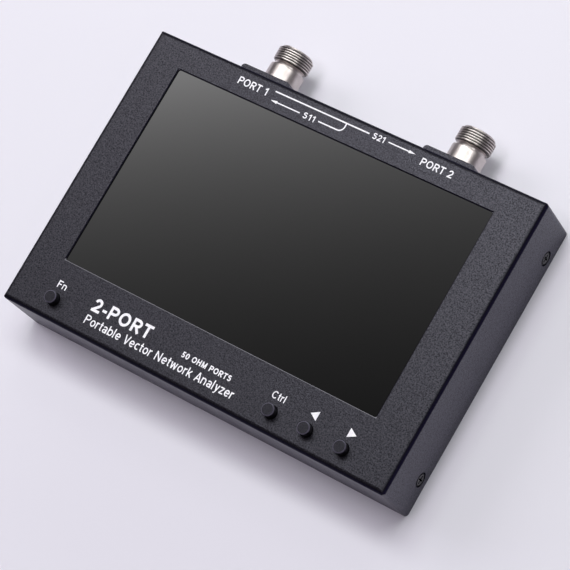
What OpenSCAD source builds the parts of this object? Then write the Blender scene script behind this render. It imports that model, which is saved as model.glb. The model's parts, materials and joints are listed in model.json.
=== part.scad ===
// Handheld two-port vector network analyzer.
// The case lies on its back: +Z leaves the front panel, +Y points to the
// two coaxial ports and +X to the right-hand side of the panel.
// The origin is the centre of the case on the surface it rests on.

/* [Case] */
// Width of the case across the front panel
case_w = 190; // [189:0.5:196]
// Height of the case, from the button edge to the port edge
case_h = 129.5; // [129:0.5:134]
// Depth of the case, from the back cover to the front panel
case_d = 32; // [32:0.5:36]
// Wall thickness of the milled shell
wall = 2.5; // [2.2:0.1:2.8]
// Radius of the round front edges of the shell
edge_r = 2; // [1:0.25:2]
// Radius of the four upright corners of the shell
corner_r = 1.5; // [1:0.25:2]

/* [Screen] */
// Width of the window in the front panel
window_w = 154.6; // [150:0.2:156]
// Height of the window in the front panel
window_h = 92; // [88:0.2:94]
// Offset of the window from the panel centre towards the ports
window_y = 6.5; // [6:0.1:7]
// Depth of the glass below the front panel
window_depth = 0.8; // [0.7:0.1:1.2]
// Width of the chamfer round the window
window_edge = 0.3; // [0.1:0.1:0.4]

/* [Buttons] */
// Diameter of a button cap
cap_d = 5.4; // [5:0.1:5.6]
// Height of a button cap above the front panel
cap_rise = 3.8; // [1.5:0.1:4]
// Travel of a button
cap_travel = 0.5; // [0.25:0.05:0.6]
// Distance from the button row to the bottom edge of the panel
button_edge = 8.6; // [8.5:0.1:9]

/* [Ports] */
// Distance between the two ports
port_pitch = 90; // [88:1:92]
// Depth of the port axis below the front panel
port_depth = 16; // [15:0.5:17]
// Outer diameter of the coupling thread
thread_d = 15.88; // [15.8:0.02:15.9]
// Diameter of the plain lower body
collar_d = 15.4; // [15:0.1:15.8]
// Height of a port above its boss
port_rise = 16.4; // [16:0.1:17]

/* [Hidden] */
$fn = 64;
eps = 0.01;

// Levels above the resting surface
front_z = case_d;
front_t = 2.5;
inner_z = front_z - front_t;
inner_w = case_w - 2 * wall;
inner_h = case_h - 2 * wall;

// Front window and display stack, from the panel inwards
window_x = -0.65;
lip_t = window_depth - 0.2;
gasket_t = 0.2;
glass_t = 1.1;
cell_t = 1.2;
backlight_t = 2.2;
tray_t = 0.3;
glass_w = window_w + 10;
glass_h = window_h + 7.8;
pocket_gap = 0.3;
gasket_w = 2.4;
glass_top = front_z - window_depth;
glass_bottom = glass_top - glass_t;
cell_bottom = glass_bottom - cell_t;
backlight_bottom = cell_bottom - backlight_t;
tray_bottom = backlight_bottom - tray_t;

// Buttons on the front panel
button_y = -case_h / 2 + button_edge;
button_xs = [-73, 37, 54, 71];
hole_gap = 0.3;
cap_flange_d = 7.6;
cap_flange_t = 0.8;
cap_clear = 0.3;
cap_bottom = inner_z - cap_clear - cap_flange_t;
cap_edge = 0.35;
plunger_d = 3.5;
plunger_gap = 0.35;
plunger_len = 1.7;
switch_size = 6.2;
switch_h = 3.5;
switch_top = cap_bottom - 1;
key_board_top = switch_top - switch_h;
key_board_t = 1.6;
key_board_x0 = -82;
key_board_x1 = 88;
key_board_h = 12;
key_post_xs = [-62, -10, 83];

// Port bosses and connectors
port_x0 = 3;
port_xs = [port_x0 - port_pitch / 2, port_x0 + port_pitch / 2];
port_z = front_z - port_depth;
boss_w = 24;
boss_drop = 1.6;
boss_back = 1.75;
boss_t = 1.8;
boss_r = 1.6;
boss_y = case_h / 2 + boss_t;
shank_r = 5.8;
shank_hole_r = 6;
shank_y = case_h / 2 - wall - 7.5;
neck_r = 6.25;
collar_h = 7.85;
thread_from = 9.4;
thread_to = 15.4;
bore_r = 4.1;
bore_depth = 9;
contact_r = 1.5;
contact_depth = 5;
contact_core_r = 1;
contact_pin_r = 0.65;
contact_pin_len = 5;
insulator_y = shank_y - 1;
washer_t = 0.8;
nut_t = 3;
nut_across = 16;

// Main board and what holds it
board_t = 1.6;
board_top = port_z - contact_pin_r;
board_bottom = board_top - board_t;
board_w = inner_w - 3;
board_y0 = -14;
board_y1 = shank_y - 1.2;
post_x = case_w / 2 - 6.5;
board_post_ys = [board_y0 + 4, board_y1 - 4];
clip_ys = [-33, 22];
clip_w = 8;
clip_len = 13;

// Flat cables and their sockets, as [x, y] on the main board
display_socket = [-12, 4];
touch_socket = [20, 4];
key_socket = [-50, -5];
cable_t = 0.25;

// Screws: thread radius, head radius and head height
m3 = [1.5, 2.8, 1.7];
m25 = [1.25, 2.25, 1.5];

// Back cover
cover_t = 2;
cover_gap = 0.1;
cover_inner = cover_t;
lug_l = 14;
lug_w = 5;
lug_h = 9;
side_screw_y = 50;
side_screw_z = 6.5;
side_sink_r = 3.3;
side_head_r = 2.7;
side_head_drop = 0.1;
side_screw_len = 6;

// Battery on the back cover
tape_t = 0.3;
battery_w = 95;
battery_l = 58;
battery_t = 8;
battery_y = -28;
battery_z = cover_inner + tape_t;
lead_d = 1.6;
lead_sides = 8;
lead_gap = 2;
plug_x = 64;
plug_y = board_y0 + 1;
plug_out = 2.5;

// Controls in the left wall
left_x = -case_w / 2;
usb_y = 34;
usb_w = 8.94;
usb_h = 3.2;
usb_l = 8;
switch_y = 5;
switch_z = board_top + 2.2;
switch_slot = [7.6, 3];
knob_size = [4, 2.2];
knob_rise = 1.2;
knob_travel = 3;

// ---- Shared shapes ----

// Flat rectangle with round corners, centred
module round_rect(w, h, r) {
    square([w - 2 * r, h], center = true);
    square([w, h - 2 * r], center = true);
    for (x = [-1, 1], y = [-1, 1])
        translate([x * (w / 2 - r), y * (h / 2 - r)]) circle(r);
}

// Block with round vertical corners, standing on z0
module round_block(w, h, r, z0, z1) {
    translate([0, 0, z0]) linear_extrude(z1 - z0) round_rect(w, h, r);
}

// Side outline of the case: square at the back, round at the front edges
module case_outline(w) {
    translate([-w / 2, 0]) square([w, case_d - edge_r]);
    translate([-w / 2 + edge_r, 0]) square([w - 2 * edge_r, case_d]);
    for (s = [-1, 1])
        translate([s * (w / 2 - edge_r), front_z - edge_r]) circle(edge_r);
}

// The outer form of the case, with round front edges and corners
module case_form() {
    intersection() {
        round_block(case_w, case_h, corner_r, 0, front_z);
        rotate([90, 0, 0])
            linear_extrude(case_h + 2, center = true) case_outline(case_w);
        rotate([90, 0, 90])
            linear_extrude(case_w + 2, center = true) case_outline(case_h);
    }
}

// Cylinder along +Y
module y_rod(x, z, y0, y1, r) {
    translate([x, y1, z]) rotate([90, 0, 0]) cylinder(h = y1 - y0, r = r);
}

// Solid of revolution about +Y from an outline of [radius, y] points
module y_turned(x, z) {
    translate([x, 0, z]) rotate([-90, 0, 0]) rotate_extrude() children();
}

// Pan-head screw that points to +Z, with its head under z
module pan_screw(x, y, z, size, len) {
    translate([x, y, z - size[2]]) difference() {
        union() {
            cylinder(h = size[2], r = size[1]);
            cylinder(h = size[2] + len, r = size[0]);
        }
        cross_recess(size[1], size[2] * 0.6);
    }
}

// Cross slot cut into a head whose face is at z = 0
module cross_recess(head_r, depth) {
    for (a = [0, 90])
        rotate([0, 0, a])
            translate([-head_r * 0.65, -head_r * 0.15, -eps])
                cube([head_r * 1.3, head_r * 0.3, depth]);
}

// ---- Case ----

// Milled aluminium shell: front panel, four walls and two port bosses
module front_shell() {
    color([0.13, 0.13, 0.15]) difference() {
        union() {
            difference() {
                union() {
                    case_form();
                    for (x = port_xs) port_boss(x);
                }
                round_block(inner_w, inner_h, 1, 0 - 1, inner_z);
            }
            for (x = key_post_xs)
                translate([x, button_y, key_board_top])
                    cylinder(h = inner_z - key_board_top + eps, r = 3);
            for (s = [-1, 1], y = clip_ys)
                translate([s * (post_x - 0.5), y, tray_bottom])
                    cylinder(h = inner_z - tray_bottom + eps, r = 2.9);
        }
        window_cut();
        for (x = button_xs)
            translate([x, button_y, inner_z - 1])
                cylinder(h = front_t + 2, r = cap_d / 2 + hole_gap);
        for (x = port_xs)
            y_rod(x, port_z, shank_y, boss_y + 1, shank_hole_r);
        for (x = key_post_xs)
            translate([x, button_y, key_board_top - 1])
                cylinder(h = 6.4, r = m25[0]);
        for (s = [-1, 1], y = clip_ys)
            translate([s * (post_x - 0.5), y, tray_bottom - 1])
                cylinder(h = 4.4, r = m25[0]);
        for (s = [-1, 1], y = board_post_ys)
            translate([s * post_x, y, inner_z - 1])
                cylinder(h = 1 + 1.5, r = m3[0]);
        for (s = [-1, 1], y = [-side_screw_y, side_screw_y])
            side_hole(s, y);
        left_wall_cuts();
    }
}

// Raised seat on the port edge that a connector is tightened against
module port_boss(x) {
    l = boss_t + 2;
    translate([x, boss_y - l / 2, 0])
        round_block(boss_w, l, boss_r, boss_back, front_z - boss_drop);
}

// Window through the panel, and the glass pocket behind its lip
module window_cut() {
    translate([window_x, window_y, 0]) {
        round_block(window_w, window_h, 0.8, inner_z - 1, front_z + 1);
        round_block(glass_w + 2 * pocket_gap, glass_h + 2 * pocket_gap, 1.5,
                    inner_z - 1, front_z - lip_t);
        intersection() {
            rotate([90, 0, 0])
                linear_extrude(case_h, center = true) flare(window_w);
            rotate([90, 0, 90])
                linear_extrude(case_w, center = true) flare(window_h);
        }
    }
}

// Side outline of the window's chamfer, w wide where it starts
module flare(w) {
    z = front_z - window_edge;
    polygon([[-w / 2, z], [w / 2, z], [w / 2 + 2 * window_edge, z + 2 * window_edge],
             [-w / 2 - 2 * window_edge, z + 2 * window_edge]]);
}

// Countersunk hole through a side wall
module side_hole(side, y) {
    translate([side * case_w / 2, y, side_screw_z])
        rotate([0, -90 * side, 0]) {
            translate([0, 0, -1]) cylinder(h = wall + 2, r = m3[0] + 0.2);
            translate([0, 0, -1]) cylinder(h = 1.9, r = side_sink_r);
            translate([0, 0, 0.9 - eps])
                cylinder(h = 1, r1 = side_sink_r - 0.3, r2 = m3[0] + 0.2);
        }
}

// Openings for the charging socket and the power slider
module left_wall_cuts() {
    translate([left_x - 1, usb_y, board_top + usb_h / 2])
        rotate([90, 0, 90])
            linear_extrude(wall + 2)
                round_rect(usb_w + 0.5, usb_h + 0.5, 1.6);
    translate([left_x - 1, switch_y, switch_z])
        rotate([90, 0, 90])
            linear_extrude(wall + 2) square(switch_slot, center = true);
}

// Back cover that closes the shell from inside its walls
module back_cover() {
    w = inner_w - 2 * cover_gap;
    h = inner_h - 2 * cover_gap;
    color([0.12, 0.12, 0.14]) difference() {
        union() {
            round_block(w, h, 1, 0, cover_inner);
            for (s = [-1, 1], y = [-side_screw_y, side_screw_y])
                translate([s * (w / 2 - lug_w / 2), y, cover_inner])
                    linear_extrude(lug_h) square([lug_w, lug_l], center = true);
        }
        for (s = [-1, 1], y = [-side_screw_y, side_screw_y])
            translate([s * (w / 2 + 1), y, side_screw_z])
                rotate([0, -90 * s, 0]) cylinder(h = lug_w + 2, r = m3[0]);
    }
}

// Four countersunk screws that hold the back cover through the side walls
module side_screws() {
    color([0.2, 0.2, 0.22])
        for (s = [-1, 1], y = [-side_screw_y, side_screw_y])
            translate([s * (case_w / 2 - side_head_drop), y, side_screw_z])
                rotate([0, -90 * s, 0]) difference() {
                    union() {
                        cylinder(h = 0.3, r = side_head_r);
                        translate([0, 0, 0.3])
                            cylinder(h = 1.2, r1 = side_head_r, r2 = m3[0]);
                        cylinder(h = side_screw_len, r = m3[0]);
                    }
                    cross_recess(side_head_r, 1.6);
                }
}

// ---- Display ----

// Adhesive frame between the panel lip and the glass
module screen_gasket() {
    color([0.05, 0.05, 0.05]) translate([window_x, window_y, 0])
        difference() {
            round_block(window_w + 2 * gasket_w, window_h + 2 * gasket_w, 1,
                        glass_top, glass_top + gasket_t);
            round_block(window_w + 0.4, window_h + 0.4, 0.8,
                        glass_top - 1, glass_top + 1);
        }
}

// Flat sheet centred behind the window
module screen_sheet(w, h, z0, z1) {
    translate([window_x, window_y, 0]) round_block(w, h, 1, z0, z1);
}

module touch_glass() {
    color([0.16, 0.16, 0.16, 0.9])
        screen_sheet(glass_w, glass_h, glass_bottom, glass_top);
}

module lcd_cell() {
    color([0.1, 0.1, 0.12])
        screen_sheet(glass_w - 3, glass_h - 3, cell_bottom, glass_bottom);
}

module backlight_panel() {
    color([0.92, 0.92, 0.9])
        screen_sheet(glass_w - 4, glass_h - 4, backlight_bottom, cell_bottom);
}

// Pressed steel tray behind the backlight
module display_tray() {
    color([0.7, 0.7, 0.72]) difference() {
        screen_sheet(glass_w - 3, glass_h - 3, tray_bottom, cell_bottom);
        screen_sheet(glass_w - 4, glass_h - 4, backlight_bottom, glass_top);
    }
}

// Four clips that press the tray towards the panel
module display_clips() {
    color([0.75, 0.75, 0.77])
        for (s = [-1, 1], y = clip_ys)
            translate([s * (post_x - 3.5), y, tray_bottom - 1]) difference() {
                linear_extrude(1) square([clip_len, clip_w], center = true);
                translate([s * 3, 0, -1]) cylinder(h = 3, r = m25[0] + 0.1);
            }
}

module clip_screws() {
    color([0.7, 0.7, 0.7])
        for (s = [-1, 1], y = clip_ys)
            pan_screw(s * (post_x - 0.5), y, tray_bottom - 1, m25, 4);
}

// Flexible cable: a run of [y, z] points with thickness t below it
module flat_cable(x, w, run, t) {
    translate([x - w / 2, 0, 0]) rotate([90, 0, 90]) linear_extrude(w)
        polygon(concat(run, [for (i = [len(run) - 1:-1:0])
            let (d = heading(run, i)) run[i] + t * [d[1], -d[0]]]));
}

module display_cable() {
    color([0.75, 0.5, 0.2])
        flat_cable(display_socket[0], 34, cable_run(display_socket), cable_t);
}

module touch_cable() {
    color([0.7, 0.45, 0.18])
        flat_cable(touch_socket[0], 10, cable_run(touch_socket), cable_t);
}

// Run of a display cable: along the tray, down, and into its socket
function cable_run(at) = let (y = at[1]) [
    [y - 20, tray_bottom], [y - 12, tray_bottom],
    [y - 9.5, tray_bottom - 1], [y - 8, tray_bottom - 3],
    [y - 7, board_top + 4], [y - 5.5, board_top + 2],
    [y - 3, board_top + 1.4], [y - 0.5, board_top + 1.4]
];

// ---- Buttons ----

// Button cap with its retaining flange under the panel
module button_cap(i) {
    color([0.15, 0.15, 0.18]) translate([button_xs[i], button_y, 0]) {
        translate([0, 0, cap_bottom])
            cylinder(h = cap_flange_t, r = cap_flange_d / 2);
        translate([0, 0, cap_bottom])
            cylinder(h = front_z + cap_rise - cap_edge - cap_bottom,
                     r = cap_d / 2);
        translate([0, 0, front_z + cap_rise - cap_edge])
            cylinder(h = cap_edge, r1 = cap_d / 2, r2 = cap_d / 2 - cap_edge);
    }
}

module fn_button() { button_cap(0); }
module ctrl_button() { button_cap(1); }
module left_button() { button_cap(2); }
module right_button() { button_cap(3); }

// Plunger of a key switch, pushed by the cap above it
module plunger(i) {
    color([0.1, 0.1, 0.1])
        translate([button_xs[i], button_y, cap_bottom - plunger_len])
            cylinder(h = plunger_len, r = plunger_d / 2);
}

module fn_plunger() { plunger(0); }
module ctrl_plunger() { plunger(1); }
module left_plunger() { plunger(2); }
module right_plunger() { plunger(3); }

// Housings of the four key switches
module key_switches() {
    color([0.2, 0.2, 0.2])
        for (x = button_xs)
            translate([x, button_y, key_board_top]) difference() {
                linear_extrude(switch_h) square(switch_size, center = true);
                translate([0, 0, switch_h - 1.9])
                    cylinder(h = 3, r = plunger_d / 2 + plunger_gap);
            }
}

module key_board() {
    color([0.06, 0.22, 0.12])
        translate([0, 0, key_board_top - key_board_t]) difference() {
            translate([key_board_x0, button_y - key_board_h / 2, 0])
                cube([key_board_x1 - key_board_x0, key_board_h, key_board_t]);
            for (x = key_post_xs)
                translate([x, button_y, -1]) cylinder(h = 4, r = m25[0] + 0.1);
        }
}

module key_board_screws() {
    color([0.7, 0.7, 0.7])
        for (x = key_post_xs)
            pan_screw(x, button_y, key_board_top - key_board_t, m25, 5);
}

// Ribbon from the key board to the main board
module key_cable() {
    y0 = button_y + key_board_h / 2;
    z0 = key_board_top - key_board_t;
    color([0.85, 0.85, 0.85])
        flat_cable(key_socket[0], 10, [
            [y0 - 6, z0], [y0 - 1, z0], [y0 + 3, z0 - 1],
            [y0 + 8, z0 - 3.4], [board_y0 - 14, board_top + 2],
            [key_socket[1] - 6, board_top + 1.4],
            [key_socket[1] - 0.5, board_top + 1.4]
        ], cable_t);
}

// ---- Main board ----

module main_board() {
    color([0.05, 0.2, 0.12])
        translate([0, 0, board_bottom]) difference() {
            translate([-board_w / 2, board_y0, 0])
                cube([board_w, board_y1 - board_y0, board_t]);
            for (s = [-1, 1], y = board_post_ys)
                translate([s * post_x, y, -1]) cylinder(h = 4, r = m3[0] + 0.1);
        }
}

// Hexagonal pillars between the panel and the main board
module board_standoffs() {
    color([0.8, 0.7, 0.4])
        for (s = [-1, 1], y = board_post_ys)
            translate([s * post_x, y, board_top]) difference() {
                union() {
                    cylinder(h = inner_z - board_top, r = 3, $fn = 6);
                    cylinder(h = inner_z - board_top + 1.4, r = m3[0]);
                }
                translate([0, 0, -eps]) cylinder(h = 6, r = m3[0] - 0.2);
            }
}

module board_screws() {
    color([0.7, 0.7, 0.7])
        for (s = [-1, 1], y = board_post_ys)
            pan_screw(s * post_x, y, board_bottom, [m3[0] - 0.2, m3[1], m3[2]],
                      board_t + 5);
}

// Pressed cover over the receiver of one port
module rf_shield(x) {
    color([0.78, 0.78, 0.8])
        translate([x, board_y1 - 24, board_top]) difference() {
            linear_extrude(4.2) square([46, 30], center = true);
            translate([0, 0, -1])
                linear_extrude(4.7) square([45, 29], center = true);
        }
}

module rf_shield_1() { rf_shield(port_xs[0]); }
module rf_shield_2() { rf_shield(port_xs[1]); }

// Flat package on the main board
module chip(x, y, w, h, t) {
    translate([x - w / 2, y - h / 2, board_top]) cube([w, h, t]);
}

module processor_chip() {
    color([0.1, 0.1, 0.1]) chip(port_x0, 24, 17, 17, 1.5);
}

// Receivers under the shields, memory, clock and power parts
module board_chips() {
    color([0.13, 0.13, 0.13]) {
        for (x = port_xs) {
            chip(x - 10, board_y1 - 24, 6, 6, 0.9);
            chip(x + 2, board_y1 - 20, 5, 5, 0.9);
            chip(x + 12, board_y1 - 28, 4, 4, 0.9);
        }
        for (s = [-1, 1]) chip(port_x0 + s * 15, 20, 9, 12, 1.2);
        chip(port_x0, 42, 7, 5, 2);
        for (y = [4, 14]) chip(-74, y, 7, 7, 3);
        chip(-76, 34, 6, 5, 1.2);
    }
}

// Sockets of the flat cables, the key ribbon and the battery lead
module board_sockets() {
    color([0.85, 0.83, 0.78]) {
        socket(display_socket, 38);
        socket(touch_socket, 14);
        socket(key_socket, 14);
        translate([plug_x - 5, plug_y, board_top]) difference() {
            cube([10, 6, 5.6]);
            translate([0.9, -1, 0.6]) cube([8.2, 5.5, 4.5]);
        }
    }
}

// Low socket for a flat cable, with a slot in its front
module socket(at, w) {
    translate([at[0] - w / 2, at[1] - 2.5, board_top]) difference() {
        cube([w, 5, 2.4]);
        translate([1.5, -1, 0.9]) cube([w - 3, 3.5, 0.8]);
    }
}

// ---- Ports ----

// Outline of a port body: threaded shell outside, stepped bore inside
module port_outline() {
    tip = boss_y + port_rise;
    r = thread_d / 2;
    c = collar_d / 2;
    polygon([
        [bore_r, tip], [bore_r, insulator_y], [shank_r - 0.6, insulator_y],
        [shank_r, insulator_y + 0.6], [shank_r, boss_y], [c, boss_y],
        [c, boss_y + collar_h - 0.4], [c - 0.4, boss_y + collar_h],
        [neck_r, boss_y + collar_h], [neck_r, boss_y + thread_from],
        [r, boss_y + thread_from], [r, boss_y + thread_to],
        [7, boss_y + thread_to], [7, tip - 0.5], [6.5, tip]
    ]);
}

module port_body(x) {
    color([0.8, 0.79, 0.76]) y_turned(x, port_z) port_outline();
}

// White insulator, from the bottom of the bore to the shank end
module port_insulator(x) {
    top = boss_y + port_rise - bore_depth;
    color([0.95, 0.95, 0.93]) difference() {
        y_rod(x, port_z, insulator_y, top, bore_r);
        y_rod(x, port_z, insulator_y - 1, top + 1, contact_core_r);
    }
}

// Centre contact: a slotted socket in front, a solder pin behind
module port_contact(x) {
    top = boss_y + port_rise - contact_depth;
    seat = boss_y + port_rise - bore_depth;
    color([0.85, 0.68, 0.3]) difference() {
        union() {
            y_rod(x, port_z, seat, top, contact_r);
            y_rod(x, port_z, insulator_y, seat, contact_core_r);
            y_rod(x, port_z, insulator_y - contact_pin_len, insulator_y,
                  contact_pin_r);
        }
        y_rod(x, port_z, top - 3, top + 1, 0.82);
        translate([x - 2, top - 2.6, port_z - 0.15]) cube([4, 4, 0.3]);
    }
}

// Washer inside the wall
module port_washer(x) {
    y1 = case_h / 2 - wall;
    color([0.8, 0.79, 0.76]) difference() {
        y_rod(x, port_z, y1 - washer_t, y1, 9);
        y_rod(x, port_z, y1 - washer_t - 1, y1 + 1, shank_r + 0.2);
    }
}

// Hexagonal nut that clamps the port to the wall
module port_nut(x) {
    y1 = case_h / 2 - wall - washer_t;
    color([0.8, 0.79, 0.76]) difference() {
        translate([x, y1, port_z]) rotate([90, 0, 0])
            cylinder(h = nut_t, r = nut_across / 2 / cos(30), $fn = 6);
        y_rod(x, port_z, y1 - nut_t - 1, y1 + 1, shank_r);
    }
}

module port_1_body() { port_body(port_xs[0]); }
module port_1_insulator() { port_insulator(port_xs[0]); }
module port_1_contact() { port_contact(port_xs[0]); }
module port_1_washer() { port_washer(port_xs[0]); }
module port_1_nut() { port_nut(port_xs[0]); }
module port_2_body() { port_body(port_xs[1]); }
module port_2_insulator() { port_insulator(port_xs[1]); }
module port_2_contact() { port_contact(port_xs[1]); }
module port_2_washer() { port_washer(port_xs[1]); }
module port_2_nut() { port_nut(port_xs[1]); }

// ---- Battery ----

module battery_pack() {
    color([0.35, 0.45, 0.6])
        translate([0, battery_y, 0])
            round_block(battery_w, battery_l, 1.5, battery_z,
                        battery_z + battery_t);
}

module battery_tape() {
    color([0.9, 0.9, 0.85])
        translate([0, battery_y, 0])
            round_block(battery_w - 10, battery_l - 10, 1, cover_inner,
                        battery_z);
}

// Route of the battery lead, from the pack to its plug
lead_route = [
    [battery_w / 2, -31, battery_z + 4], [50, -31, battery_z + 4],
    [54, -30.6, battery_z + 4.3], [58, -29.6, battery_z + 5.2],
    [61, -27.6, battery_z + 7.4], [63, -25, battery_z + 10.4],
    [63.8, -22.4, board_top + 0.8], [plug_x, -20, board_top + 2.4],
    [plug_x, -18, board_top + 2.8],
    [plug_x, plug_y - plug_out, board_top + 2.8]
];

// Unit vector along v
function unit(v) = v / norm(v);

// Direction of a route at point i
function heading(route, i) =
    unit(route[min(i + 1, len(route) - 1)] - route[max(i - 1, 0)]);

// One ring of a tube, square to the route
function ring(p, d, r, n) = let (
    side = unit(cross(d, [1, -1, 0])),
    up = cross(side, d)
) [for (k = [0:n - 1])
    p + r * (cos(360 * k / n) * side + sin(360 * k / n) * up)];

// Closed tube swept along a route
module tube(route, r, n) {
    rings = [for (i = [0:len(route) - 1])
        each ring(route[i], heading(route, i), r, n)];
    last = len(route) - 1;
    polyhedron(rings, concat(
        [[for (k = [0:n - 1]) k]],
        [for (i = [0:last - 1], k = [0:n - 1])
            [i * n + k, (i + 1) * n + k, (i + 1) * n + (k + 1) % n,
             i * n + (k + 1) % n]],
        [[for (k = [n - 1:-1:0]) last * n + k]]
    ));
}

// The lead's two wires, side by side
module battery_lead() {
    for (s = [-1, 1])
        color(s < 0 ? [0.75, 0.1, 0.1] : [0.1, 0.1, 0.1])
            tube([for (i = [0:len(lead_route) - 1])
                lead_route[i] + s * lead_gap / 2 * lead_side(i)],
                lead_d / 2, lead_sides);
}

// Level direction from one wire of the lead to the other at point i
function lead_side(i) = unit(cross([0, 0, 1], heading(lead_route, i)));

module battery_plug() {
    color([0.9, 0.88, 0.8])
        translate([plug_x - 4, plug_y - plug_out, board_top + 0.6])
            cube([8, plug_out + 4.4, 4.4]);
}

// ---- Left wall controls ----

// Charging socket: a pressed shell with a tongue inside
module usb_socket() {
    z = board_top + usb_h / 2;
    color([0.75, 0.75, 0.76])
        translate([left_x + 0.4, usb_y, z]) rotate([90, 0, 90]) {
            difference() {
                linear_extrude(usb_l) round_rect(usb_w, usb_h, 1.5);
                translate([0, 0, -1])
                    linear_extrude(usb_l) round_rect(usb_w - 0.6, usb_h - 0.6, 1.2);
            }
            translate([0, 0, 0.8]) linear_extrude(usb_l - 1)
                square([usb_w - 2.2, 0.7], center = true);
        }
}

// Body of the power slide switch on the main board
module power_switch_body() {
    x0 = left_x + wall + 0.4;
    color([0.7, 0.7, 0.72])
        translate([x0, switch_y - 5, board_top]) difference() {
            cube([4.2, 10, 4.4]);
            translate([-1, 5 - switch_slot[0] / 2, 2.2 - switch_slot[1] / 2])
                cube([3.4, switch_slot[0], switch_slot[1]]);
        }
}

// Power slider, at rest in its off position
module power_slider() {
    x1 = left_x + wall + 0.4 + 2;
    color([0.08, 0.08, 0.08])
        translate([left_x - knob_rise, switch_y - knob_travel / 2, switch_z])
            rotate([90, 0, 90]) linear_extrude(x1 - left_x + knob_rise)
                square(knob_size, center = true);
}

front_shell();
back_cover();
side_screws();
screen_gasket();
touch_glass();
lcd_cell();
backlight_panel();
display_tray();
display_clips();
clip_screws();
display_cable();
touch_cable();
fn_button();
ctrl_button();
left_button();
right_button();
fn_plunger();
ctrl_plunger();
left_plunger();
right_plunger();
key_switches();
key_board();
key_board_screws();
key_cable();
main_board();
board_standoffs();
board_screws();
port_1_body();
port_1_insulator();
port_1_contact();
port_1_washer();
port_1_nut();
port_2_body();
port_2_insulator();
port_2_contact();
port_2_washer();
port_2_nut();
rf_shield_1();
rf_shield_2();
processor_chip();
board_chips();
board_sockets();
battery_pack();
battery_tape();
battery_lead();
battery_plug();
usb_socket();
power_switch_body();
power_slider();
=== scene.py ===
import bpy
import json
import math
from mathutils import Matrix, Vector


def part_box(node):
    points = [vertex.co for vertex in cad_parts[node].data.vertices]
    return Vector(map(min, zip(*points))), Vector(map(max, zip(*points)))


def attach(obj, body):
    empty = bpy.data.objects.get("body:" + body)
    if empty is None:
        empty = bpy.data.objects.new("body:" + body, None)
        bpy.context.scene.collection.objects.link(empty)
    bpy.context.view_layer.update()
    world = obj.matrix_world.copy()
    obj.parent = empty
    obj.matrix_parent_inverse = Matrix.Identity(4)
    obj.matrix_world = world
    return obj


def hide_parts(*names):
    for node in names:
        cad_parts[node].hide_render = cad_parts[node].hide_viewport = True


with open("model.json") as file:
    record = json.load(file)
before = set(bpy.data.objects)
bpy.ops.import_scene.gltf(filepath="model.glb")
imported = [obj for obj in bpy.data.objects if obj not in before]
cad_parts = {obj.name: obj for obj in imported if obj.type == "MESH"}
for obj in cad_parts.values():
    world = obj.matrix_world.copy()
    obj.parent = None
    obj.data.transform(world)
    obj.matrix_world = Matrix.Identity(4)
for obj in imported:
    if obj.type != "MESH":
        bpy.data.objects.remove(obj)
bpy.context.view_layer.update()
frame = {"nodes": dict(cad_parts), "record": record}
MM = 0.001
nodes = frame["nodes"]
scene = bpy.context.scene
scene.view_settings.view_transform = "Standard"

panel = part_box("front_shell")[1].z          # front panel's height above the floor

# ---- Camera ----
AZ, EL, ROLL = (math.radians(v) for v in (72.54, 62.15, -44.26))
AIM = Vector((0.0147, -0.009, panel))
DISTANCE = 1.0211
FOCAL, SENSOR = 163.92, 36                  # mm
back = Vector((math.sin(AZ) * math.cos(EL), -math.cos(AZ) * math.cos(EL), math.sin(EL)))
level = Vector((math.cos(AZ), math.sin(AZ), 0))
upright = back.cross(level)
right = math.cos(ROLL) * level + math.sin(ROLL) * upright
up = back.cross(right)
lens = bpy.data.cameras.new("camera")
lens.lens, lens.sensor_width = FOCAL, SENSOR
lens.clip_start, lens.clip_end = 0.05, 20
camera = bpy.data.objects.new("camera", lens)
turned = Matrix((right, up, back)).transposed().to_4x4()
camera.matrix_world = Matrix.Translation(AIM + back * DISTANCE) @ turned
scene.collection.objects.link(camera)
scene.camera = camera


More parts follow.
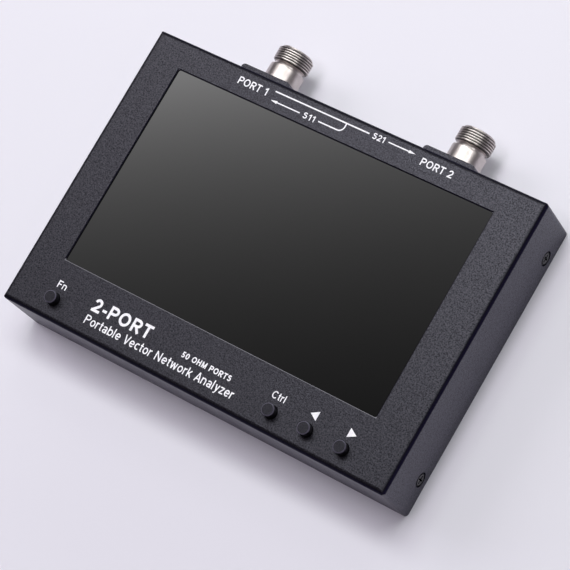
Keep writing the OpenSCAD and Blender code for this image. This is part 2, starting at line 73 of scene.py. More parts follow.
# ---- Materials ----
class Graph:
    """A material's nodes, with short calls for the few kinds used here."""

    def __init__(self, name):
        self.mat = bpy.data.materials.new(name)
        self.mat.use_nodes = True
        self.tree = self.mat.node_tree
        self.shader = self.tree.nodes["Principled BSDF"]
        self.space = self.tree.nodes.new("ShaderNodeTexCoord").outputs["Object"]

    def link(self, a, b):
        self.tree.links.new(a, b)

    def add(self, kind, inputs=(), **props):
        n = self.tree.nodes.new("ShaderNode" + kind)
        for k, v in props.items():
            setattr(n, k, v)
        for k, v in dict(inputs).items():
            if isinstance(v, bpy.types.NodeSocket):
                self.link(v, n.inputs[k])
            else:
                n.inputs[k].default_value = v
        return n

    def noise(self, scale, detail=3, rough=0.55, stretch=None):
        at = self.space
        if stretch:
            at = self.add("Mapping", {"Vector": at, "Scale": stretch}).outputs[0]
        inputs = {"Vector": at, "Scale": scale, "Detail": detail, "Roughness": rough}
        return self.add("TexNoise", inputs).outputs["Fac"]

    def spread(self, value, lo, hi, a=0.3, b=0.7):
        """lo where the value is a or less, hi where it is b or more, and even between."""
        inputs = {"Value": value, "From Min": a, "From Max": b, "To Min": lo, "To Max": hi}
        return self.add("MapRange", inputs).outputs[0]

    def mix(self, fac, a, b):
        """Colour a where fac is 0 and b where it is 1."""
        n = self.tree.nodes.new("ShaderNodeMix")
        n.data_type = "RGBA"
        for i, v in ((0, fac), (6, a), (7, b)):
            if isinstance(v, bpy.types.NodeSocket):
                self.link(v, n.inputs[i])
            else:
                n.inputs[i].default_value = v if i == 0 else (*v, 1)
        return n.outputs[2]

    def math(self, op, a, b=0.0):
        return self.add("Math", {0: a, 1: b}, operation=op).outputs[0]

    def blend(self, a, b, share):
        """share of a and the rest of b."""
        return self.math("ADD", self.math("MULTIPLY", a, share), self.math("MULTIPLY", b, 1 - share))

    def parts(self, vector=None):
        """The x, y and z of a vector, or of the point itself."""
        return self.add("SeparateXYZ", {0: vector or self.space}).outputs

    def radius(self, a, b):
        return self.math("SQRT", self.math("ADD", self.math("MULTIPLY", a, a), self.math("MULTIPLY", b, b)))

    def band(self, value, rise, fall):
        """0, then up to 1 across the rise, and down to 0 again across the fall."""
        return self.math("MULTIPLY", self.spread(value, 0, 1, *rise), self.spread(value, 1, 0, *fall))

    def within(self, value, middle, half):
        """1 where the value is less than half away from the middle, 0 elsewhere."""
        return self.math("LESS_THAN", self.math("ABSOLUTE", self.math("SUBTRACT", value, middle)), half)

    def bump(self, height, strength, distance, normal=None):
        n = self.add("Bump", {"Height": height, "Strength": strength, "Distance": distance})
        if normal:
            self.link(normal, n.inputs["Normal"])
        return n.outputs[0]

    def set(self, **values):
        for k, v in values.items():
            socket = self.shader.inputs[k.replace("_", " ")]
            if isinstance(v, bpy.types.NodeSocket):
                self.link(v, socket)
            else:
                socket.default_value = v


def shade(c, k):
    return tuple(min(1, v * k) for v in c)


def finish(name, colour, rough, metallic=0.0, ior=1.5, patch=60, grain=2500, depth=0.00002, amount=0.3,
           uneven=0.12, gloss=0.15, stretch=None):
    """A finish with slow patches of tone and gloss and a fine surface grain."""
    g = Graph(name)
    slow = g.noise(patch)
    fine = g.noise(grain, 4, 0.6, stretch)
    tone = g.mix(g.spread(slow, 0, 1), shade(colour, 1 - uneven), shade(colour, 1 + uneven))
    g.set(Base_Color=tone, Metallic=metallic, IOR=ior,
          Roughness=g.spread(g.blend(slow, fine, 0.5), rough * (1 - gloss), rough * (1 + gloss)),
          Normal=g.bump(fine, amount, depth))
    return g.mat


CASE = (0.0062, 0.0058, 0.0078)         # anodising of the case, its cover and the button caps
WALL_PAINTED_REFLECTION = (0.0075, 0.0062, 0.021)          # the anodising's colour on the side walls, made bluer by a painted violet reflection of the floor
GLINT = (0.86, 0.835, 1.0, 1)           # tint of what the anodising mirrors
SILL_HIGHLIGHT = (0.2, 0.195, 0.215)              # painted highlight on the chamfer at the window's lower edge
SILL_UP = 3.7 * MM                      # from the glass's lower edge to the chamfer below the window
SILL_DOWN = 0.2 * MM                    # from the panel down to the chamfer's middle
SILL_HALF = (82 * MM, 0.6 * MM, 0.17 * MM)
RUB_NEAR, RUB_FAR = 0.2 * MM, 1.1 * MM  # edge distances where rubbing is full, and where it ends
ROUNDED = ((0.12, 0.32), (0.84, 0.97))  # how level the rounded edges are: 0 is a wall, 1 the panel
ROUNDED_DULL = 0.95                     # how much of the mirroring is lost on them
WALL_SMOOTH = 1.38                      # how much more the walls mirror than the panel


def edge_distance(g, half_x, half_y, top):
    """The sum of a point's two smallest distances to the case's outer faces: 0 on its outer edges."""
    xyz = g.parts()
    d = [g.math("SUBTRACT", half_x, g.math("ABSOLUTE", xyz[0])),
         g.math("SUBTRACT", half_y, g.math("ABSOLUTE", xyz[1])),
         g.math("SUBTRACT", top, xyz[2])]
    pairs = [g.math("ADD", d[i], d[j]) for i, j in ((0, 1), (0, 2), (1, 2))]
    return g.math("MINIMUM", g.math("MINIMUM", pairs[0], pairs[1]), pairs[2])


def painted_sill_highlight(g):
    """1 on the chamfer below the window, where a highlight is painted, 0 elsewhere."""
    middle = (0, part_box("touch_glass")[0].y + SILL_UP, panel - SILL_DOWN)
    inside = [g.within(*v) for v in zip(g.parts(), middle, SILL_HALF)]
    return g.math("MULTIPLY", g.math("MULTIPLY", inside[1], inside[2]), inside[0])


def anodised(name, colour, rough):
    """Blasted and anodised aluminium: lighter where edges rub, duller on roundings, smoother on walls, with a
    painted violet reflection on the walls and a painted highlight on the chamfer below the window.
    """
    g = Graph(name)
    slow = g.noise(35)
    fine = g.noise(1650, 3, 0.6)
    pits = g.noise(2600, 2, 0.5)
    lo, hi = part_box("front_shell")
    facing = g.parts(g.tree.nodes["Texture Coordinate"].outputs["Normal"])
    level = g.math("ABSOLUTE", facing[2])       # 1 on the panel and the back, 0 on the walls
    near = edge_distance(g, hi.x, -lo.y, hi.z)
    patchy = g.spread(g.noise(420), 0.1, 0.8, 0.4, 0.65)
    rub = g.math("MULTIPLY", g.spread(near, 1, 0, RUB_NEAR, RUB_FAR), patchy)
    tone = g.mix(g.spread(slow, 0, 1), shade(colour, 0.93), shade(colour, 1.07))
    # painted violet reflection: the walls take a bluer colour than the panel
    tone = g.mix(g.spread(level, 1, 0, 0.5, 0.9), tone, WALL_PAINTED_REFLECTION)
    tone = g.mix(rub, tone, shade(colour, 1.3))
    # painted highlight on the chamfer below the window
    tone = g.mix(painted_sill_highlight(g), tone, SILL_HIGHLIGHT)
    dull = g.math("MULTIPLY", g.band(level, *ROUNDED), ROUNDED_DULL)
    smooth = g.math("MULTIPLY", g.spread(level, WALL_SMOOTH, 1, 0.5, 0.9), g.math("SUBTRACT", 1, dull))
    g.set(Base_Color=tone, Metallic=0.0, IOR=1.5,
          Specular_IOR_Level=g.math("MULTIPLY", g.spread(fine, 0.18, 0.84, 0.34, 0.66), smooth),
          Specular_Tint=GLINT,
          Roughness=g.spread(g.blend(slow, fine, 0.4), rough * 0.9, rough * 1.1),
          Normal=g.bump(pits, 0.5, 0.00004, g.bump(fine, 0.6, 0.0001)))
    return g.mat


CAP_R = 2.7 * MM        # radius of a button cap
CAP_RIM = 0.5 * MM      # width and depth of the painted highlight on the rim
CAP_RIM_HIGHLIGHT = 14         # how many times lighter than the cap the painted highlight on its rim is


def cap_finish(name, colour, rough):
    """Smoother anodising for the button caps, with a painted highlight on the rim of each top."""
    g = Graph(name)
    fine = g.noise(2200, 3, 0.6)
    xyz = g.parts()
    boxes = [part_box(f"{key}_button") for key in ("fn", "ctrl", "left", "right")]
    rings = []
    for lo, hi in boxes:
        middle = (lo + hi) / 2
        rings.append(g.radius(g.math("SUBTRACT", xyz[0], middle.x), g.math("SUBTRACT", xyz[1], middle.y)))
    r = rings[0]
    for ring in rings[1:]:
        r = g.math("MINIMUM", r, ring)
    top = g.math("GREATER_THAN", xyz[2], boxes[0][1].z - CAP_RIM)
    # rim: where the painted highlight on each cap's top goes
    rim = g.math("MULTIPLY", top, g.spread(r, 0, 1, CAP_R - CAP_RIM, CAP_R - 0.4 * CAP_RIM))
    tone = g.mix(g.spread(fine, 0, 1), shade(colour, 0.7), shade(colour, 0.95))
    g.set(Base_Color=g.mix(rim, tone, shade(colour, CAP_RIM_HIGHLIGHT)),
          IOR=1.5, Specular_IOR_Level=g.spread(fine, 0.22, 0.5), Specular_Tint=GLINT,
          Roughness=g.spread(fine, rough * 0.9, rough * 1.1), Normal=g.bump(fine, 0.25, 0.00005))
    return g.mat


SCREW_FACE = 0.1 * MM       # what is deeper than this in a side screw's head is its drive
SCREW_DARK = 2.5 * MM       # how far in from the head's face the painted shade reaches
HEAD_RIM = 0.84             # where the head's rim starts, as a part of its radius
SCREW_SHADE_TONE = 0.03                # tone of the painted shade, as a part of the steel's


def screw_shadow(g):
    """1 in the side screws' drives and on the rims of their heads, where shade is painted."""
    lo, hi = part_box("side_screws")
    xyz = g.parts()
    head = (hi.z - lo.z) / 2
    y = g.math("SUBTRACT", g.math("ABSOLUTE", xyz[1]), hi.y - head)
    r = g.radius(y, g.math("SUBTRACT", xyz[2], (lo.z + hi.z) / 2))
    x = g.math("ABSOLUTE", xyz[0])
    rim = g.math("GREATER_THAN", r, head * HEAD_RIM)
    drive = g.math("LESS_THAN", x, hi.x - SCREW_FACE)
    return g.math("MULTIPLY", g.math("MAXIMUM", rim, drive), g.math("GREATER_THAN", x, hi.x - SCREW_DARK))


def side_steel(name, colour, rough):
    """Blackened steel for the screws, with painted shade in their drives and round their rims."""
    g = Graph(name)
    slow = g.noise(500)
    fine = g.noise(2600, 4, 0.6)
    painted_shade = screw_shadow(g)
    tone = g.mix(g.spread(slow, 0, 1), shade(colour, 0.88), shade(colour, 1.12))
    # painted shade: drives and head rims are near black
    g.set(Base_Color=g.mix(painted_shade, tone, shade(colour, SCREW_SHADE_TONE)), Metallic=0.4,
          Specular_IOR_Level=g.math("SUBTRACT", 0.5, g.math("MULTIPLY", painted_shade, 0.45)),
          Roughness=g.spread(fine, rough * 0.85, rough * 1.15), Normal=g.bump(fine, 0.3, 0.00002))
    return g.mat


THREAD_TOP, THREAD_END = 0.7, 7.2           # where a port's thread is, in mm below the tip
CREST_R, ROOT_R = 7.7 * MM, 7.3 * MM        # where the thread's plating has no painted shade, and where its painted shade is darkest
INNER_R = 7.15 * MM                         # what is nearer the axis than this isn't thread
ROOT_SHADE = 0.12                            # tone of the painted shade in the roots, as a part of the plating's


def thread_depth(g):
    """How deep in a port's thread a point lies, from 0 at the crests to 1 at the roots."""
    xyz = g.parts()
    lo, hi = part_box("port_1_body")
    axes = [(a.x + b.x) / 2 for a, b in (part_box("port_1_body"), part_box("port_2_body"))]
    off = [g.math("ABSOLUTE", g.math("SUBTRACT", xyz[0], x)) for x in axes]
    r = g.radius(g.math("MINIMUM", *off), g.math("SUBTRACT", xyz[2], (lo.z + hi.z) / 2))
    threaded = g.math("GREATER_THAN", xyz[1], hi.y - (THREAD_END + 0.1) * MM)
    outside = g.math("GREATER_THAN", r, INNER_R)
    return g.math("MULTIPLY", g.math("MULTIPLY", threaded, outside), g.spread(r, 1, 0, ROOT_R, CREST_R))


def plated(name, colour, rough, axis, shaded_roots=False):
    """Bright turned plating: fine rings round the axis, faint stains, and on threads painted shade in the
    roots.
    """
    g = Graph(name)
    stretch = [900.0 if i == axis else 12.0 for i in range(3)]
    rings = g.noise(8, 3, 0.6, stretch)
    stain = g.noise(260, 4)
    tone = g.mix(g.spread(stain, 0, 1, 0.35, 0.75), colour, shade(colour, 0.86))
    if shaded_roots:
        # painted shade in the thread's roots
        tone = g.mix(thread_depth(g), tone, shade(colour, ROOT_SHADE))
    g.set(Base_Color=tone, Metallic=1.0,
          Roughness=g.spread(g.blend(rings, stain, 0.6), rough * 0.85, rough * 1.15),
          Normal=g.bump(rings, 0.12, 0.00001))
    return g.mat


def screen():
    """Dark cover glass over an unlit display."""
    g = Graph("screen_glass")
    slow = g.noise(25)
    dust = g.noise(900, 5, 0.7)
    g.set(Base_Color=g.mix(g.spread(slow, 0, 1), (0.0020, 0.0020, 0.0019), (0.0028, 0.0028, 0.0027)),
          Roughness=g.spread(dust, 0.015, 0.05, 0.35, 0.8), IOR=1.52,
          Normal=g.bump(slow, 0.02, 0.00002))
    return g.mat


looks = {
    "anodised_case": lambda: anodised("anodised_case", CASE, 0.40),
    "anodised_cover": lambda: anodised("anodised_cover", CASE, 0.46),
    "button_metal": lambda: cap_finish("button_metal", CASE, 0.38),
    "screw_steel": lambda: side_steel("screw_steel", (0.045, 0.044, 0.05), 0.36),
    "screen_glass": screen,
    "lcd_laminate": lambda: finish("lcd_laminate", (0.02, 0.02, 0.022), 0.2),
    "white_plastic": lambda: finish("white_plastic", (0.8, 0.8, 0.78), 0.5),
    "sheet_steel": lambda: finish("sheet_steel", (0.58, 0.58, 0.6), 0.32, metallic=1.0, grain=900,
                                  stretch=(1, 14, 1)),
    "amber_film": lambda: finish("amber_film", (0.42, 0.17, 0.03), 0.3, grain=1200),
    "white_film": lambda: finish("white_film", (0.72, 0.72, 0.7), 0.35, grain=1200),
    "black_plastic": lambda: finish("black_plastic", (0.018, 0.018, 0.019), 0.5, amount=0.5),
    "grey_plastic": lambda: finish("grey_plastic", (0.11, 0.11, 0.115), 0.5),
    "circuit_board": lambda: finish("circuit_board", (0.008, 0.07, 0.025), 0.3, patch=220, grain=700,
                                    uneven=0.3),
    "brass_hex": lambda: finish("brass_hex", (0.7, 0.5, 0.2), 0.3, metallic=1.0),
    "nickel_plate": lambda: plated("nickel_plate", (0.62, 0.565, 0.55), 0.38, 1, shaded_roots=True),
    "ptfe": lambda: finish("ptfe", (0.85, 0.85, 0.82), 0.4),
    "gold_plate": lambda: plated("gold_plate", (0.86, 0.62, 0.24), 0.2, 1),
    "chip_epoxy": lambda: finish("chip_epoxy", (0.022, 0.022, 0.024), 0.55),
    "ivory_plastic": lambda: finish("ivory_plastic", (0.72, 0.66, 0.5), 0.45),
    "battery_wrap": lambda: finish("battery_wrap", (0.05, 0.11, 0.25), 0.28, patch=90, grain=500),
    "foam_tape": lambda: finish("foam_tape", (0.75, 0.75, 0.7), 0.85, grain=1500, amount=0.8),
    "wire_sleeve": lambda: finish("wire_sleeve", (0.4, 0.015, 0.015), 0.4),
    "black_adhesive": lambda: finish("black_adhesive", (0.012, 0.012, 0.012), 0.7),
    "white_print": lambda: finish("white_print", (0.93, 0.92, 0.95), 0.5, patch=900, grain=3000, amount=0.15),
}
slot_of = {s["node"]: s["material_slot"] for s in frame["record"]["subparts"]}
materials = {}


def look(slot):
    if slot not in materials:
        materials[slot] = looks[slot]()
    return materials[slot]


for name, node in nodes.items():
    node.data.materials.clear()
    node.data.materials.append(look(slot_of[name]))
    for face in node.data.polygons:
        face.material_index = 0


def piece(name, verts, faces, slot, body="case", smooth_deg=None):
    """A mesh piece that rides on a body and takes its finish from a slot."""
    mesh = bpy.data.meshes.new(name)
    mesh.from_pydata(verts, [], faces)
    mesh.validate()
    mesh.materials.append(look(slot))
    obj = bpy.data.objects.new(name, mesh)
    scene.collection.objects.link(obj)
    if smooth_deg is not None:
        mesh.shade_smooth()
        mesh.set_sharp_from_angle(angle=math.radians(smooth_deg))
    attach(obj, body)
    return obj


# ---- Coaxial ports: turned bodies with a true helical thread ----
PITCH = 25.4 / 24       # mm
SEGMENTS = 96
ROWS_A_TURN = 12
THREAD_DEPTH = 0.64     # mm
CREST, FLANK = 0.4, 0.42    # the parts of half a pitch that the flat crest and the flank take
SOFT = 0.35             # how far the flank's ends are rounded, from 0 to 1
RISE = 16.4             # from the case's seat, where a port's collar starts, to the port's tip, in mm
BORE, SHANK, COLLAR, NECK, LIP = 4.1, 5.8, 7.7, 6.25, 7.0      # radii, in mm


def thread_radius(phase, major):
    """Radius of a thread at a phase from 0 to 1, in mm."""
    t = abs(phase - 0.5) * 2            # 0 at the crest, 1 at the root
    k = min(1, max(0, (t - CREST) / FLANK))
    return major - THREAD_DEPTH * (k * k * (3 - 2 * k) * SOFT + k * (1 - SOFT))


def port(number):
    lo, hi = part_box(f"port_{number}_body")
    cx, cz = (lo.x + hi.x) / 2, (lo.z + hi.z) / 2
    foot, tip = lo.y / MM, hi.y / MM
    seat = tip - RISE
    major = (hi.x - lo.x) / 2 / MM
    start, stop = tip - THREAD_END, tip - THREAD_TOP
    shank = [(BORE, foot), (SHANK - 0.6, foot), (SHANK, foot + 0.6), (SHANK, seat)]
    collar = [(7.35, seat), (7.62, seat + 0.1), (COLLAR, seat + 0.3), (COLLAR, seat + 0.5),
              (COLLAR, seat + 7.1), (COLLAR, seat + 7.3), (7.62, seat + 7.6), (7.3, seat + 7.8),
              (7.2, seat + 7.82)]
    neck = [(6.4, seat + 7.84), (NECK, seat + 7.95), (NECK, start - 0.3), (6.4, start - 0.12)]
    mouth = [(7.05, stop + 0.03), (LIP, stop + 0.1), (LIP, tip - 0.35), (6.65, tip - 0.04), (6.45, tip),
             (4.55, tip), (4.35, tip - 0.06), (BORE, tip - 0.4), (BORE, tip - 9)]
    rows = shank + collar + neck
    steps = int((stop - start) / PITCH * ROWS_A_TURN)
    rows += [(None, start + (stop - start) * i / steps) for i in range(steps + 1)]     # None: the thread
    rows += mouth
    verts, faces = [], []
    for fixed, y in rows:
        for k in range(SEGMENTS):
            a = 2 * math.pi * k / SEGMENTS
            r = fixed
            if fixed is None:
                r = thread_radius((y / PITCH - k / SEGMENTS) % 1, major)
                r = min(r, 6.85 + (y - start) * 1.5, LIP + (stop - y) * 1.4)       # its ends run out
            verts.append((cx + r * MM * math.sin(a), y * MM, cz + r * MM * math.cos(a)))
    n = len(rows)
    for i in range(n):
        j = (i + 1) % n
        for k in range(SEGMENTS):
            m = (k + 1) % SEGMENTS
            faces.append((i * SEGMENTS + k, i * SEGMENTS + m, j * SEGMENTS + m, j * SEGMENTS + k))
    obj = piece(f"port_{number}_threaded_body", verts, faces, "nickel_plate", smooth_deg=40)
    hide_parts(f"port_{number}_body")


port(1)
port(2)


# ---- Printed legends ----
INK = 0.02              # thickness, in mm
SUNK = 0.000004         # how far the ink's underside is below the panel, in m
LIFT = 0.001            # each stroke is this much thicker than the last, in mm: crossing ones share no plane
LIFT_MAX = 0.012        # where that starts again


def bow(cx, cy, rx, ry, start, stop, step=11):
    """Points along part of an ellipse, from one angle in degrees to another."""
    n = max(3, int(abs(stop - start) / step))
    turn = [math.radians(start + (stop - start) * i / n) for i in range(n + 1)]
    return [(cx + rx * math.cos(t), cy + ry * math.sin(t)) for t in turn]


def glyphs(h):
    """Letters as centre lines in capital heights, for strokes 2 h wide: (advance, lines)."""
    t, x = 1 - h, 0.73 - h              # centre lines of the strokes that top a capital and a small letter
    stem, low = [(h, 0), (h, 1)], [(h, 0), (h, 0.73)]
    bowl = [(h, t)] + bow(0.35, t - 0.22, 0.22, 0.22, 90, -90) + [(h, t - 0.44)]
    waist = 0.735 * 2 - t               # the foot of the upper half of an S
    belly = (waist - h) / 2
    return {
        " ": (0.30, []),
        "-": (0.40, [[(0.04, 0.36), (0.34, 0.36)]]),
        "0": (0.68, [bow(0.31, 0.5, 0.31 - h, t - 0.5, 0, 360)]),
        "1": (0.50, [[(0.32, 0), (0.32, 1)], [(0.06, 0.72), (0.30, 0.92)]]),
        "2": (0.62, [bow(0.29, t - 0.24, 0.29 - h, 0.24, 168, -38) + [(h * 0.8, h)], [(0, h), (0.58, h)]]),
        "5": (0.64, [[(0.54, t), (0.12, t)], [(0.12 + h, 1), (0.09 + h, 0.50)],
                     bow(0.28, 0.32, 0.30 - h, 0.32 - h, 142, -150)]),
        "A": (0.72, [[(h, 0), (0.35, 1)], [(0.70 - h, 0), (0.35, 1)], [(0.14, 0.30), (0.56, 0.30)]]),
        "C": (0.76, [bow(0.38, 0.5, 0.38 - h, t - 0.5, 42, 318)]),
        "F": (0.60, [stem, [(0, t), (0.54, t)], [(0, 0.50), (0.48, 0.50)]]),
        "H": (0.78, [stem, [(0.68 - h, 0), (0.68 - h, 1)], [(h, 0.52), (0.68 - h, 0.52)]]),
        "M": (0.90, [stem, [(0.80 - h, 0), (0.80 - h, 1)], [(h, 1), (0.40, 0.03)],
                     [(0.80 - h, 1), (0.40, 0.03)]]),
        "N": (0.78, [stem, [(0.68 - h, 0), (0.68 - h, 1)], [(h, 0.95), (0.68 - h, 0.05)]]),
        "O": (0.86, [bow(0.40, 0.5, 0.40 - h, t - 0.5, 0, 360)]),
        "P": (0.68, [stem, bowl]),
        "R": (0.72, [stem, bowl, [(0.32, t - 0.44), (0.60, 0)]]),
        "S": (0.70, [bow(0.31, 0.735, 0.29 - h, t - 0.735, 22, 270)
                     + bow(0.31, waist - belly, 0.31 - h, belly, 90, -158)[1:]]),
        "T": (0.66, [[(0, t), (0.62, t)], [(0.31, 0), (0.31, 1)]]),
        "V": (0.68, [[(h, 1), (0.33, 0)], [(0.66 - h, 1), (0.33, 0)]]),
        "a": (0.58, [bow(0.25, x - 0.17, 0.19, 0.17, 155, 0) + [(0.44, 0)],
                     bow(0.245, 0.22, 0.235 - h, 0.22 - h, 0, 360)]),
        "b": (0.62, [stem, bow(0.29, 0.365, 0.29 - h, 0.365 - h, 0, 360)]),
        "c": (0.54, [bow(0.28, 0.365, 0.28 - h, 0.365 - h, 48, 312)]),
        "e": (0.60, [bow(0.28, 0.365, 0.28 - h, 0.365 - h, 0, 318), [(h, 0.365), (0.56 - h, 0.365)]]),
        "k": (0.54, [stem, [(h, 0.26), (0.45, 0.73)], [(0.20, 0.42), (0.48, 0)]]),
        "l": (0.25, [stem]),
        "n": (0.62, [low, [(h, 0.42)] + bow(0.27, x - 0.2, 0.27 - h, 0.2, 180, 0) + [(0.54 - h, 0)]]),
        "o": (0.62, [bow(0.285, 0.365, 0.285 - h, 0.365 - h, 0, 360)]),
        "r": (0.40, [low, [(h, 0.40)] + bow(0.30, x - 0.24, 0.30 - h, 0.24, 180, 84)]),
        "t": (0.36, [[(0.15, 0.95), (0.15, 0.18)] + bow(0.27, h + 0.12, 0.12, 0.12, 180, 275),
                     [(0, x), (0.31, x)]]),
        "w": (0.82, [[(h, 0.73), (0.21, 0)], [(0.21, 0), (0.38, 0.70)], [(0.38, 0.70), (0.56, 0)],
                     [(0.56, 0), (0.77 - h, 0.73)]]),
        "y": (0.54, [[(h, 0.73), (0.27, 0.03)],
                     [(0.51 - h, 0.73), (0.25, 0), (0.18, -0.16), (0.05, -0.20)]]),
        "z": (0.52, [[(0.02, x), (0.45, x)], [(0.43, x), (0.05, h)], [(0.02, h), (0.47, h)]]),
    }


def inked(name, flat, faces, lift):
    """Flat outlines on the panel, in mm, given the ink's thickness."""
    n = len(flat)
    verts = [(x * MM, y * MM, panel - SUNK) for x, y in flat]
    verts += [(x * MM, y * MM, panel + (INK + z) * MM) for (x, y), z in zip(flat, lift)]
    edges = dict.fromkeys(edge for f in faces for edge in zip(f, f[1:] + f[:1]))
    rim = [(a, b) for a, b in edges if (b, a) not in edges]
    solid = [tuple(v + n for v in f) for f in faces] + [tuple(reversed(f)) for f in faces]
    solid += [(a, b, b + n, a + n) for a, b in rim]
    piece(name, verts, solid, "white_print")


def stroke(points, width):
    """A band of even width along points, as outline vertices and faces."""
    pts = [Vector(p) for p in points]
    flat = []
    for i, p in enumerate(pts):
        d = (pts[min(i + 1, len(pts) - 1)] - pts[max(i - 1, 0)]).normalized()
        side = Vector((-d.y, d.x)) * width / 2
        flat += [p - side, p + side]
    return flat, [(2 * i, 2 * i + 2, 2 * i + 3, 2 * i + 1) for i in range(len(pts) - 1)]


def drawing(name, strokes, heads):
    """One printed piece from bands and from three-cornered heads."""
    flat, faces, lift = [], [], []
    for s, f in strokes:
        faces += [tuple(v + len(flat) for v in q) for q in f]
        height = lift[-1] % LIFT_MAX + LIFT if lift else 0
        lift += [height] * len(s)
        flat += s
    for h in heads:
        faces.append(tuple(range(len(flat), len(flat) + 3)))
        flat += [Vector(p) for p in h]
        lift += [0.0] * 3
    inked(name, [(p.x, p.y) for p in flat], faces, lift)


MARGIN = 0.06           # about what a letter's advance leaves empty to its right, in capital heights


def legend(name, words, x0, x1, base, cap, weight):
    """A line of words from x0 to x1 in capitals cap high, in mm, its strokes weight capital heights wide."""
    letters = glyphs(weight / 2)
    gap = weight * 0.35
    wide, at = 0, []
    for c in words:
        at.append(wide)
        wide += letters[c][0] + gap
    wide -= gap + MARGIN
    sx = (x1 - x0) / wide
    strokes = []
    for c, start in zip(words, at):
        for line in letters[c][1]:
            points = [(x0 + (start + px) * sx, base + py * cap) for px, py in line]
            strokes.append(stroke(points, weight * cap))
    drawing(name, strokes, [])


def arrow(tip, way):
    """An arrow's head that points right, or left where way is -1."""
    back_x = tip[0] - 3.2 * way
    low, high = (back_x, tip[1] - 0.65), (back_x, tip[1] + 0.65)
    return (tip, high, low) if way > 0 else (tip, low, high)


legend("legend_port_1", "PORT 1", -50.8, -36.1, 57.3, 3.3, 0.165)
legend("legend_port_2", "PORT 2", 39.0, 53.9, 57.55, 3.2, 0.165)
legend("legend_s11", "S11", -16.8, -11.0, 55.3, 2.65, 0.17)
legend("legend_s21", "S21", 15.0, 20.8, 59.35, 2.65, 0.17)
legend("legend_fn", "Fn", -74.9, -70.3, -51.0, 3.1, 0.15)
legend("legend_ctrl", "Ctrl", 33.8, 40.2, -50.9, 3.1, 0.14)
legend("legend_title", "2-PORT", -55.6, -26.0, -53.2, 5.8, 0.2)
legend("legend_subtitle", "Portable Vector Network Analyzer", -55.6, 19.5, -59.0, 3.9, 0.135)
legend("legend_ports", "50 OHM PORTS", -9.4, 15.1, -53.1, 2.5, 0.2)

OUT_Y, RETURN_Y = 60.67, 56.6       # heights of the two signal paths
BEND = 2.4
corner = bow(-0.1, RETURN_Y + BEND, BEND, BEND, -90, 0, step=7.5)
out_1 = stroke([(-33.2, OUT_Y), (13.3, OUT_Y)], 0.6)
out_2 = stroke([(22.5, OUT_Y), (32.4, OUT_Y)], 0.5)
return_1 = stroke([(-9.4, RETURN_Y), (-4.0, RETURN_Y)] + corner + [(2.3, 60.4)], 0.55)
return_2 = stroke([(-30.2, RETURN_Y), (-18.6, RETURN_Y)], 0.5)
drawing("legend_s21_path", [out_1, out_2], [arrow((35.5, OUT_Y), 1)])
drawing("legend_s11_path", [return_1, return_2], [arrow((-33.2, RETURN_Y), -1)])
drawing("legend_left_triangle", [], [((52.0, -49.25), (55.4, -51.3), (55.4, -47.25))])
drawing("legend_right_triangle", [], [((73.6, -49.3), (70.0, -47.25), (70.0, -51.25))])


# ---- Studio ----
def square(half):
    return [(-half, -half, 0), (half, -half, 0), (half, half, 0), (-half, half, 0)]


def stage_mesh(name, verts, faces, mat):
    mesh = bpy.data.meshes.new(name)
    mesh.from_pydata(verts, [], faces)
    mesh.materials.append(mat)
    obj = bpy.data.objects.new(name, mesh)
    scene.collection.objects.link(obj)
    return obj


g = Graph("pale_floor")
g.set(Base_Color=g.mix(g.noise(3), (0.80, 0.794, 0.832), (0.82, 0.814, 0.852)), Roughness=0.65, IOR=1.4,
      Normal=g.bump(g.noise(900), 0.05, 0.0001))
stage_mesh("floor", square(4), [(0, 1, 2, 3)], g.mat)

world = bpy.data.worlds.new("studio")
scene.world = world
world.use_nodes = True
sky = world.node_tree.nodes["Background"]
sky.inputs["Color"].default_value = (0.94, 0.82, 1.0, 1)
sky.inputs["Strength"].default_value = 0.07


def softbox(name, where, size, power, floor=True, sheen=False, colour=(1, 1, 1)):
    """A rectangular lamp turned to the object: floor for matt surfaces, sheen for mirror-like ones."""
    light = bpy.data.lights.new(name, "AREA")
    light.shape, light.size, light.size_y = "RECTANGLE", size[0], size[1]
    light.energy = power
    light.color = colour
    obj = bpy.data.objects.new(name, light)
    obj.location = where
    obj.rotation_mode = "QUATERNION"
    obj.rotation_quaternion = (-Vector(where)).to_track_quat("-Z", "Y")
    obj.visible_camera = False
    obj.visible_diffuse = floor
    obj.visible_glossy = sheen
    scene.collection.objects.link(obj)


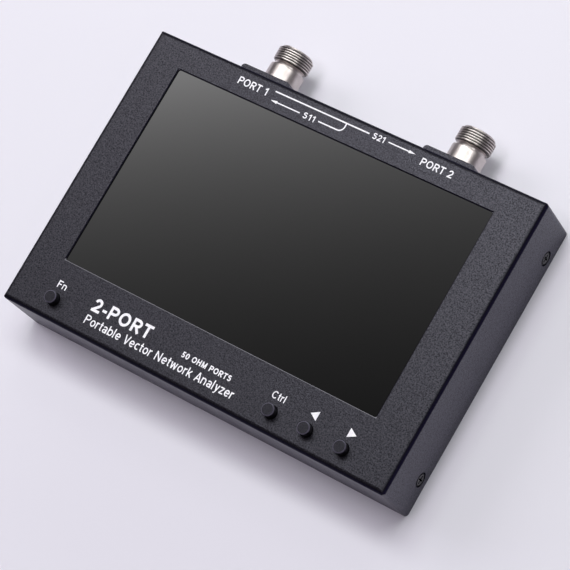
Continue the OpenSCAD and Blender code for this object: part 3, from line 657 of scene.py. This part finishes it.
VIOLET = (0.96, 0.83, 1.16)
LILAC = (1.0, 0.955, 1.035)
CELADON = (0.97, 1.06, 0.99)
TOP, SIDE = 1.6, 0.5            # heights of the lamps, in m
SMALL, BROAD = (0.4, 0.4), (1.5, 0.7)
softbox("key_left", (-1.95, 0.35, TOP), (1.2, 1.2), 14, colour=LILAC)
softbox("key_top", (0, 0.2, TOP), (0.4, 1.2), 14, colour=LILAC)
softbox("key_top_left", (-0.4, 0.6, TOP), SMALL, 3.4, sheen=True, colour=CELADON)
softbox("key_top_right", (0.4, 0.6, TOP), SMALL, 3.4, sheen=True, colour=CELADON)
softbox("key_top_back", (-0.4, 1.5, TOP), SMALL, 1.2)
softbox("fill_left", (-2.0, 0, SIDE), BROAD, 7, colour=VIOLET)
softbox("fill_corner", (-1.414, 1.414, SIDE), BROAD, 5, colour=CELADON)
softbox("fill_back", (0, 2.0, SIDE), BROAD, 8, sheen=True, colour=CELADON)
softbox("fill_right", (2.0, 0, SIDE), BROAD, 2, colour=VIOLET)
softbox("fill_front", (0, -2.0, SIDE), BROAD, 0.3, colour=VIOLET)
softbox("sheen_left", (-0.25, 0.62, TOP), (0.45, 0.35), 5.5, floor=False, sheen=True)
softbox("sheen_right", (1.15, 0.35, TOP), (0.9, 0.5), 8, floor=False, sheen=True)

# The lit ceiling card that the glass and the metal mirror, brighter towards the upper left of the panel
g = Graph("card")
at = g.parts()
g.tree.nodes.remove(g.shader)
CARD_MIDDLE, CARD_MOST = 0.85, 4.0      # its light in the middle, and at most
CARD_RISE = (-3.6, 6.5)                 # powers of e that it grows by in a metre of x and of y
slope = g.math("ADD", g.math("MULTIPLY", at[0], CARD_RISE[0]), g.math("MULTIPLY", at[1], CARD_RISE[1]))
light = g.math("MINIMUM", g.math("MULTIPLY", g.math("EXPONENT", slope), CARD_MIDDLE), CARD_MOST)
glow = g.add("Emission", {"Color": (1, 0.99, 1, 1), "Strength": light})
g.link(glow.outputs[0], g.tree.nodes["Material Output"].inputs[0])
card = stage_mesh("card", square(0.7), [(0, 3, 2, 1)], g.mat)
card.location = (-0.83, 0.27, TOP)
card.visible_camera = card.visible_shadow = card.visible_diffuse = False
